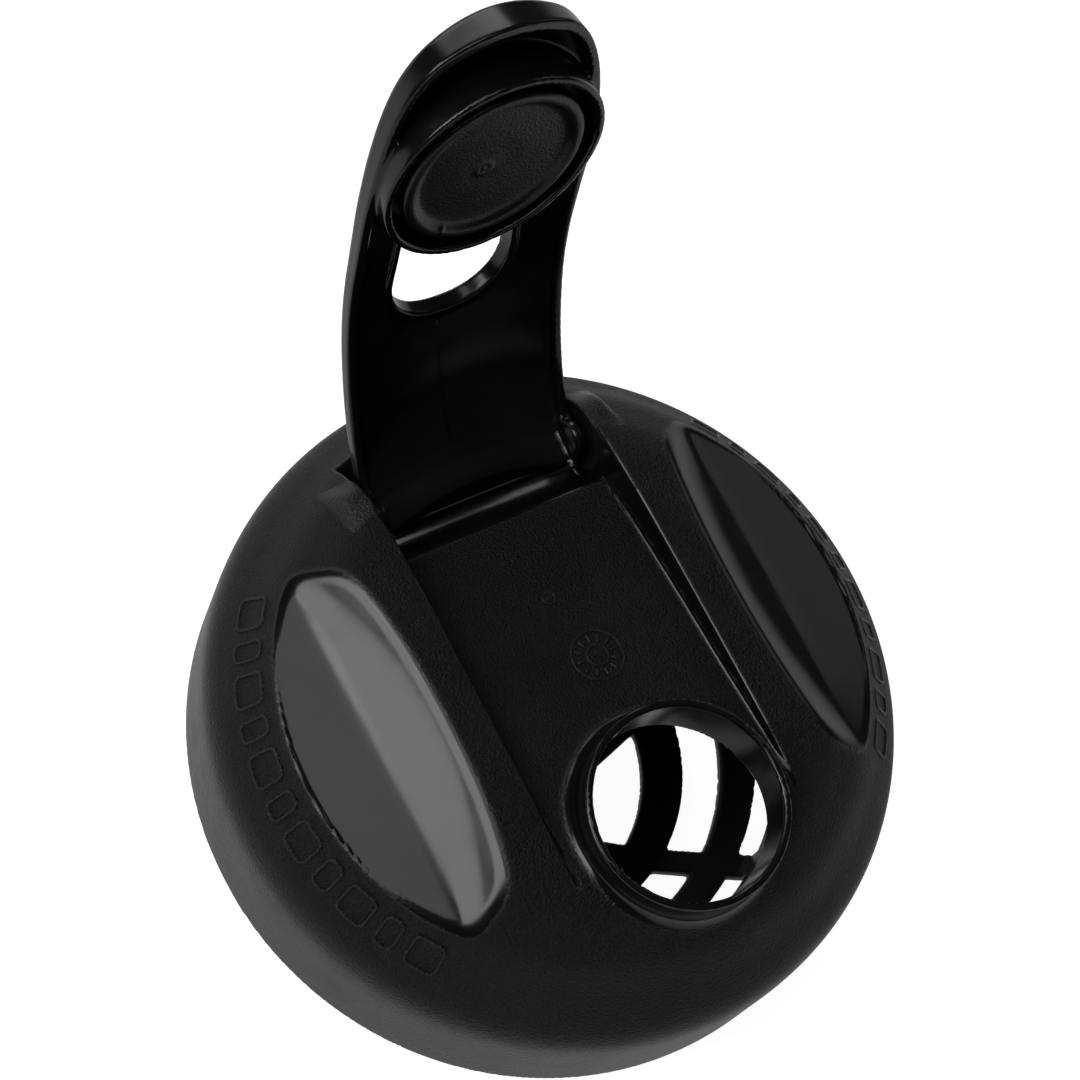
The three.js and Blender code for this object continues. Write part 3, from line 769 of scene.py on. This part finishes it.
dome_r, dome_z = smooth_curve(DOME, 4000)
dome_along = np.concatenate([[0], np.cumsum(np.hypot(np.diff(dome_r), np.diff(dome_z)))])
shoulder_middle = np.interp(SHOULDER_RADIUS, dome_r[:3000], dome_along[:3000])


def dome_field(points):
    return lid_outside(np.hypot(points[:, 0], points[:, 1]), points[:, 2])


def shoulder_paths():
    """Outlined bars round both shoulders, where a moulded badge would be."""
    paths = []
    for middle in (math.pi, 0):
        for index in range(SHOULDER_MARKS):
            width = SHOULDER_WIDTHS[index % 2]
            turn = middle + (index - (SHOULDER_MARKS - 1) / 2) * SHOULDER_PITCH
            loop = densify(rounded_loop(width, SHOULDER_HEIGHT, SHOULDER_CORNER), 0.5)
            along = shoulder_middle + loop[:, 1]
            angle = turn + loop[:, 0] / SHOULDER_RADIUS
            r = np.interp(along, dome_along, dome_r)
            path = np.stack([r * np.cos(angle), r * np.sin(angle), np.interp(along, dome_along, dome_z)], -1)
            paths.append((path, surface_normals(dome_field, path)))
    return paths


floor_y, floor_z = smooth_curve(CHANNEL_FLOOR, 2000)


def on_floor(loop):
    path = np.stack([loop[:, 0], loop[:, 1], np.interp(loop[:, 1], floor_y, floor_z)], -1)
    return path, surface_normals(lambda p: channel_floor(p[:, 1], p[:, 2]), path)


def circle(middle, radius, count=40):
    turn = np.arange(count) * 2 * math.pi / count
    return np.stack([middle[0] + radius * np.cos(turn), middle[1] + radius * np.sin(turn)], -1)


DIAL_MIDDLE = np.array([1.8, 0])
DIAL_RADIUS = 3.6
DIAL_HUB = 1.5
DIAL_TICKS = 12
TICK_RADIUS = 2.55
TICK_LENGTH = 0.9
TICK_WIDTH = 0.16
FLOOR_GATE = (0, 10)
FLOOR_GATE_RADIUS = 0.85


def floor_paths():
    """A plain moulding dial with twelve ticks, and the ring left by the mould's gate."""
    paths = [on_floor(circle(DIAL_MIDDLE, DIAL_RADIUS)), on_floor(circle(DIAL_MIDDLE, DIAL_HUB, 24)),
             on_floor(circle(FLOOR_GATE, FLOOR_GATE_RADIUS, 20)), on_floor(circle(FLOOR_GATE, 0.25, 10))]
    for tick in range(DIAL_TICKS):
        turn = tick * 2 * math.pi / DIAL_TICKS
        outward = np.array([math.cos(turn), math.sin(turn)])
        across = np.array([-outward[1], outward[0]])
        bar = rounded_loop(TICK_LENGTH, TICK_WIDTH, 0.07, 2)
        loop = DIAL_MIDDLE + (TICK_RADIUS + bar[:, :1]) * outward + bar[:, 1:] * across
        paths.append(on_floor(loop))
    return paths


SEAM_X = -1.2
SEAM_Y = (10.5, 27.8)
SEAM_WIDTH = 0.12
SEAM_START_DEPTH = 2.5  # below the cap's edge line, well inside the hollow
SEAM_STEPS = 30


def seam_paths():
    """The fine line left along the cap's inside by a joint in the mould."""
    loop = densify(rounded_loop(SEAM_WIDTH, SEAM_Y[1] - SEAM_Y[0], 0.05, 2), 0.5)
    loop = loop + [SEAM_X, (SEAM_Y[0] + SEAM_Y[1]) / 2]
    path = np.stack([loop[:, 0], loop[:, 1], np.interp(loop[:, 1], edge_y, edge_z) - SEAM_START_DEPTH], -1)
    for _ in range(SEAM_STEPS):
        path[:, 2] += evaluate(cap_field, path)
    return [(path, surface_normals(cap_field, path))]


# ---- Materials: procedural, worked out in each piece's own drawing ----
def new_material(name):
    material = bpy.data.materials.new(name)
    material.use_nodes = True
    tree = material.node_tree
    tree.nodes.clear()
    output = tree.nodes.new("ShaderNodeOutputMaterial")
    shader = tree.nodes.new("ShaderNodeBsdfPrincipled")
    tree.links.new(shader.outputs[0], output.inputs[0])
    place = tree.nodes.new("ShaderNodeAttribute")
    place.attribute_name = "drawing"
    return material, tree, shader, place.outputs["Vector"]


def noise(tree, place, scale, detail=3.0, roughness=0.55):
    node = tree.nodes.new("ShaderNodeTexNoise")
    node.inputs["Scale"].default_value = scale
    node.inputs["Detail"].default_value = detail
    node.inputs["Roughness"].default_value = roughness
    tree.links.new(place, node.inputs["Vector"])
    return node.outputs[0]


def remap(tree, value, low, high, to_low, to_high):
    node = tree.nodes.new("ShaderNodeMapRange")
    for socket, number in zip(("From Min", "From Max", "To Min", "To Max"), (low, high, to_low, to_high)):
        node.inputs[socket].default_value = number
    tree.links.new(value, node.inputs["Value"])
    return node.outputs[0]


def maths(tree, kind, a, b):
    node = tree.nodes.new("ShaderNodeMath")
    node.operation = kind
    for socket, value in zip(node.inputs, (a, b)):
        if isinstance(value, (int, float)):
            socket.default_value = value
        else:
            tree.links.new(value, socket)
    return node.outputs[0]


def colour_between(tree, value, dark, light):
    ramp = tree.nodes.new("ShaderNodeValToRGB")
    ramp.color_ramp.elements[0].position = 0.3
    ramp.color_ramp.elements[1].position = 0.7
    ramp.color_ramp.elements[0].color = (*dark, 1)
    ramp.color_ramp.elements[1].color = (*light, 1)
    tree.links.new(value, ramp.inputs[0])
    return ramp.outputs[0]


def bump(tree, height, strength, distance, normal=None):
    node = tree.nodes.new("ShaderNodeBump")
    node.inputs["Distance"].default_value = distance
    if isinstance(strength, (int, float)):
        node.inputs["Strength"].default_value = strength
    else:
        tree.links.new(strength, node.inputs["Strength"])
    tree.links.new(height, node.inputs["Height"])
    if normal is not None:
        tree.links.new(normal, node.inputs["Normal"])
    return node.outputs[0]


def moulded_plastic(name, dark, light, gloss_roughness, grain_roughness=0.5, scuffs=0.06, waviness=0.02):
    """Black moulded plastic. The finish attribute is 0 where the mould is polished, 1 where it is grained."""
    material, tree, shader, place = new_material(name)
    finish = tree.nodes.new("ShaderNodeAttribute")
    finish.attribute_name = "finish"
    grained = finish.outputs["Fac"]
    broad = noise(tree, place, 0.09, 2)
    tree.links.new(colour_between(tree, broad, dark, light), shader.inputs["Base Color"])

    smudges = remap(tree, noise(tree, place, 0.16, 4, 0.6), 0.45, 0.75, 0, scuffs)
    rough = remap(tree, grained, 0, 1, gloss_roughness, grain_roughness)
    tree.links.new(maths(tree, "ADD", rough, smudges), shader.inputs["Roughness"])
    tree.links.new(remap(tree, grained, 0, 1, 0.5, 0.3), shader.inputs["Specular IOR Level"])

    grain = noise(tree, place, 2.9, 2.5, 0.6)
    grain_normal = bump(tree, grain, grained, 0.0006)
    waves = noise(tree, place, 0.22, 1, 0.4)
    tree.links.new(bump(tree, waves, waviness, 0.0015, grain_normal), shader.inputs["Normal"])
    shader.inputs["IOR"].default_value = 1.49
    return material


def soft_rubber(name, dark, light):
    material, tree, shader, place = new_material(name)
    tree.links.new(colour_between(tree, noise(tree, place, 0.3, 3), dark, light), shader.inputs["Base Color"])
    tree.links.new(remap(tree, noise(tree, place, 0.7, 3), 0.3, 0.7, 0.55, 0.72), shader.inputs["Roughness"])
    tree.links.new(bump(tree, noise(tree, place, 3, 2), 0.25, 0.0001), shader.inputs["Normal"])
    return material


lid_plastic = moulded_plastic("lid_plastic", (0.003, 0.003, 0.0031), (0.006, 0.006, 0.0062), 0.16, 0.46)
cap_plastic = moulded_plastic("cap_plastic", (0.0025, 0.0025, 0.0026), (0.005, 0.005, 0.0051), 0.17)
plug_plastic = moulded_plastic("plug_plastic", (0.002, 0.002, 0.0021), (0.004, 0.004, 0.0041), 0.24)
grid_plastic = moulded_plastic("grid_plastic", (0.006, 0.006, 0.006), (0.011, 0.011, 0.011), 0.3)
gasket_rubber = soft_rubber("gasket_rubber", (0.016, 0.016, 0.017), (0.03, 0.03, 0.031))


# ---- Pieces ----
def smooth_step(value, low, high):
    share = np.clip((value - low) / (high - low), 0, 1)
    return share * share * (3 - 2 * share)


SATIN = 0.45
BOSS_FINISH = 0.5


def lid_finish(points):
    """1 on the grained dome and channel floor, satin on the skirt, 0 on polished faces."""
    x, y, z = points.T
    side = np.abs(x)
    r = np.hypot(x, y)
    grain = smooth_step(z, 17, 21)
    satin = SATIN * (1 - grain)
    channel = channel_field(side, y, z)
    in_channel = (channel < 0.6) & (side < CHANNEL_HALF_WIDTH + 0.6)
    wall = in_channel & (np.abs(side - CHANNEL_HALF_WIDTH) < 0.65)
    pocket = in_channel & (y > 22.6)
    spout_r, spout_z = on_spout(points)
    spout = np.where(spout_z < 1, smooth_step(spout_r, SPOUT_BASE_RADIUS + 0.2, SPOUT_BASE_RADIUS + 1.3), 1)
    boss = np.hypot(y - HINGE_Y, z - HINGE_Z) < BOSS_RADIUS + 0.8
    boss &= (side > CHANNEL_HALF_WIDTH - 0.8) & (side < BOSS_OUTER_X + 0.6)
    scoop = smooth_step(scoop_field(side, y, z), 0.2, 0.7)
    inside = lid_outside(r, z) < -TOP_WALL * 0.6
    polished = wall | pocket | boss | (inside & ~in_channel)
    return np.where(polished, np.where(boss, BOSS_FINISH, 0), (grain + satin) * scoop * spout)


def plain_finish(value):
    return lambda points: np.full(len(points), float(value))


def dress(obj, drawing, finish):
    """Stores the drawing coordinates and the mould's finish on the mesh, for the materials to read."""
    place = obj.data.attributes.new("drawing", "FLOAT_VECTOR", "POINT")
    place.data.foreach_set("vector", np.asarray(drawing, np.float32).ravel())
    level = obj.data.attributes.new("finish", "FLOAT", "POINT")
    level.data.foreach_set("value", finish(np.asarray(drawing)).astype(np.float32))


def moulded(name, field, low, high, step, place, material, body, nodes, finish):
    obj, drawing = field_piece(name, field, low, high, step, place, material, body, nodes)
    dress(obj, drawing, finish)


def beads(name, paths, half_width, height, place, material, body, finish):
    points, faces = bead_mesh(paths, half_width, height)
    obj = mesh_piece(name, points, faces, place, material, body)
    dress(obj, points, plain_finish(finish))


moulded("lid_body", lid_field, (-49.3, -49.3, -0.3), (49.3, 49.3, 39.8), 0.46, lid_place, lid_plastic,
        "lid", ("lid_shell",), lid_finish)
moulded("grid_bowl", grid_field, (-38.6, -38.6, -20.8), (38.6, 38.6, 12.4), 0.5, lid_place, grid_plastic,
        "lid", ("mixing_grid",), plain_finish(0))
moulded("neck_seal", gasket_field, (-46.9, -46.9, 15.8), (46.9, 46.9, 18), 0.55, lid_place, gasket_rubber,
        "lid", ("neck_gasket",), plain_finish(0))
moulded("flip_cap", cap_field, (-20.3, -46.8, 25), (20.3, 35.6, 45.4), 0.38, cap_place, cap_plastic,
        "cap", ("cap_arm",), plain_finish(0))
moulded("stopper", plug_field, (-12.9, -36.9, 35), (12.9, -11.1, 41), 0.4, cap_place, plug_plastic,
        "cap", ("seal_plug",), plain_finish(0.15))
beads("shoulder_marks", shoulder_paths(), 0.3, 0.17, lid_place, lid_plastic, "lid", 0.6)
beads("floor_marks", floor_paths(), 0.19, 0.15, lid_place, lid_plastic, "lid", 0.4)
beads("cap_seam", seam_paths(), 0.1, 0.12, cap_place, cap_plastic, "cap", 0)

# ---- Stage, light and camera ----
FLOOR_REACH = 4
FLOOR_SEEN = 0.95
FLOOR_CAST = 0.28
BACKDROP_SEEN = 1
BACKDROP_CAST = 0.035
LIT_PLACE = (0, 0, 0.05)


def seen_or_cast(tree, seen, cast):
    """One strength where the camera looks, and another for the light that falls on the lid."""
    path = tree.nodes.new("ShaderNodeLightPath")
    return remap(tree, path.outputs["Is Camera Ray"], 0, 1, cast, seen)


floor_mesh = bpy.data.meshes.new("floor")
floor_mesh.from_pydata([(-FLOOR_REACH, -FLOOR_REACH, 0), (FLOOR_REACH, -FLOOR_REACH, 0),
                        (FLOOR_REACH, FLOOR_REACH, 0), (-FLOOR_REACH, FLOOR_REACH, 0)], [], [(0, 1, 2, 3)])
floor = bpy.data.objects.new("floor", floor_mesh)
bpy.context.scene.collection.objects.link(floor)
floor_paint = bpy.data.materials.new("floor_paint")
floor_paint.use_nodes = True
floor_tree = floor_paint.node_tree
floor_inputs = floor_tree.nodes["Principled BSDF"].inputs
floor_inputs["Base Color"].default_value = (0.5, 0.5, 0.5, 1)
floor_inputs["Roughness"].default_value = 0.9
floor_inputs["Specular IOR Level"].default_value = 0.1
floor_inputs["Emission Color"].default_value = (1, 1, 1, 1)
floor_tree.links.new(seen_or_cast(floor_tree, FLOOR_SEEN, FLOOR_CAST), floor_inputs["Emission Strength"])
floor_mesh.materials.append(floor_paint)

scene = bpy.context.scene
scene.view_settings.view_transform = "Standard"
world = bpy.data.worlds.new("studio")
world.use_nodes = True
scene.world = world
backdrop = world.node_tree
backdrop_inputs = backdrop.nodes["Background"].inputs
backdrop.links.new(seen_or_cast(backdrop, BACKDROP_SEEN, BACKDROP_CAST), backdrop_inputs["Strength"])
backdrop_inputs["Color"].default_value = (1, 1, 1, 1)


def softbox(name, place, width, height, power):
    """A rectangular soft light facing the lid, in metres and watts."""
    light = bpy.data.lights.new(name, "AREA")
    light.shape = "RECTANGLE"
    light.size = width
    light.size_y = height
    light.energy = power
    obj = bpy.data.objects.new(name, light)
    obj.location = place
    obj.rotation_euler = (Vector(LIT_PLACE) - Vector(place)).to_track_quat("-Z", "Y").to_euler()
    scene.collection.objects.link(obj)


softbox("left", (-0.6, 0.18, 0.75), 0.5, 0.6, 3.9)
softbox("overhead", (-0.13, 0.18, 0.88), 0.42, 0.6, 1.15)
softbox("right", (0.8, 0.2, 0.55), 0.35, 0.5, 0.22)
softbox("behind", (0.1, 1, 0.5), 0.8, 0.4, 2)

camera = bpy.data.objects.new("camera", bpy.data.cameras.new("camera"))
camera.data.lens = 86.07
camera.data.sensor_width = 36
camera.data.clip_start = 0.01
camera.location = (-0.13094, -0.0711, 0.36047)
camera.rotation_euler = [math.radians(a) for a in (23.214, -14.133, -28.498)]
scene.collection.objects.link(camera)
scene.camera = camera
